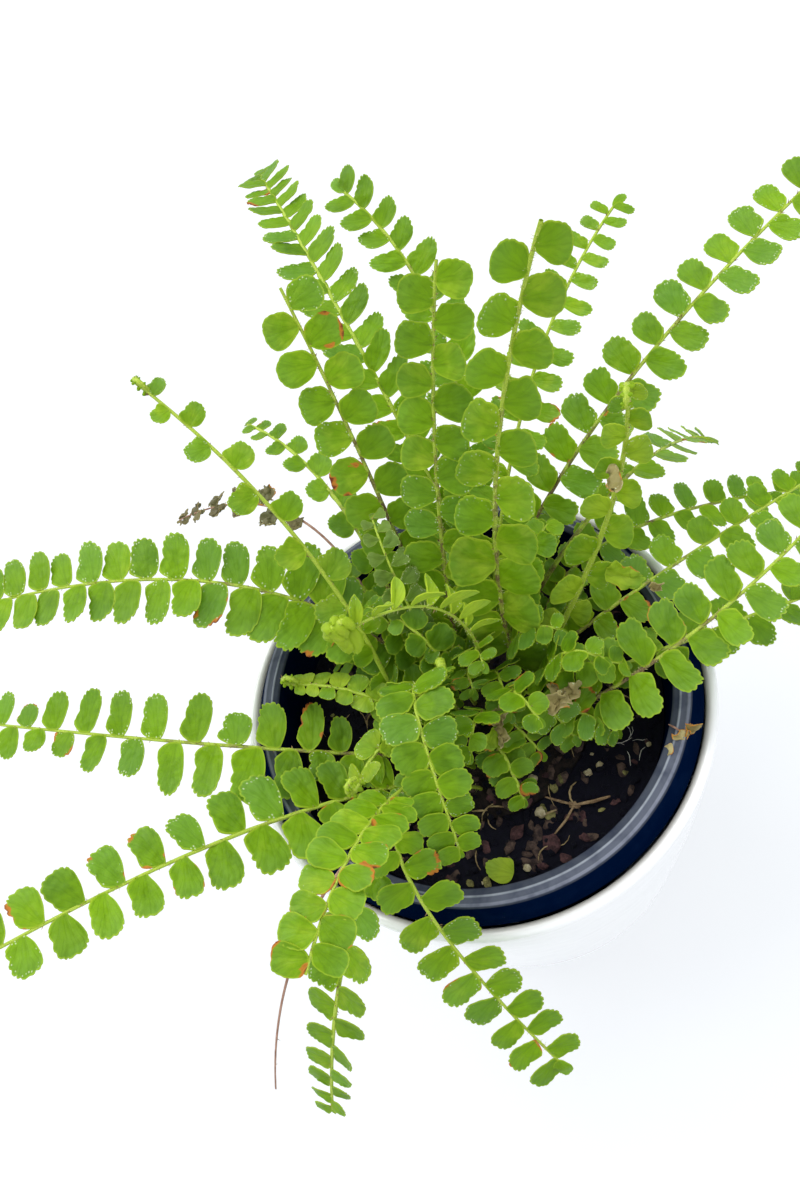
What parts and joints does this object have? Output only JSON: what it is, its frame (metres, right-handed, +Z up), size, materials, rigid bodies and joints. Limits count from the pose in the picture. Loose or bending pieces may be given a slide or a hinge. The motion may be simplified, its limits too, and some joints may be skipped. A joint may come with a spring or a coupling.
{
  "type": "potted button fern",
  "caption": "Button fern with arching fronds of round leaflets, in a black plastic growing pot set inside a white glazed cover pot",
  "frame": {"origin": "middle of the cover pot's flat underside, on the surface that it stands on", "axes": "+Z up along both pots' axis; -Y is the side that the picture is taken from; +X is to its right"},
  "size_m": [0.2644, 0.2476, 0.2323],
  "materials": {
    "white_glaze": "smooth white gloss glaze",
    "black_plastic": "black moulded plastic, satin",
    "dark_soil": "moist dark potting mix with bark chips",
    "brown_rootstock": "rough fibrous brown",
    "leaf_green": "satin leaf, bright mid green",
    "young_green": "satin young leaf, lime green",
    "dry_brown": "matt dry brown"
  },
  "bodies": {
    "root": {"cover_pot": "white_glaze", "crown": "brown_rootstock", "crozier": "young_green", "dry_stem": "dry_brown", "dry_twig": "dry_brown", "fallen_leaflet": "leaf_green", "frond_back_arching": "leaf_green", "frond_back_left_low": "leaf_green", "frond_back_left_small": "leaf_green", "frond_back_left_upright": "leaf_green", "frond_back_long": "leaf_green", "frond_back_low": "leaf_green", "frond_back_right": "leaf_green", "frond_back_upright": "leaf_green", "frond_centre_back": "leaf_green", "frond_centre_front": "leaf_green", "frond_centre_low": "leaf_green", "frond_centre_new": "young_green", "frond_centre_right": "leaf_green", "frond_dead_back_left": "dry_brown", "frond_far_right_drooping": "leaf_green", "frond_front_drooping": "leaf_green", "frond_front_left_drooping": "leaf_green", "frond_front_left_new": "young_green", "frond_front_raised": "leaf_green", "frond_front_short": "leaf_green", "frond_left_front": "leaf_green", "frond_left_long": "leaf_green", "frond_left_low_new": "young_green", "frond_left_middle": "leaf_green", "frond_left_young": "young_green", "frond_low_front": "leaf_green", "frond_right_front": "leaf_green", "frond_right_inner": "leaf_green", "frond_right_long": "leaf_green", "frond_right_low": "leaf_green", "frond_right_middle": "leaf_green", "frond_right_under": "leaf_green", "frond_right_young": "young_green", "frond_tall_centre": "leaf_green", "growing_pot": "black_plastic", "soil": "dark_soil"}
  },
  "joints": []
}
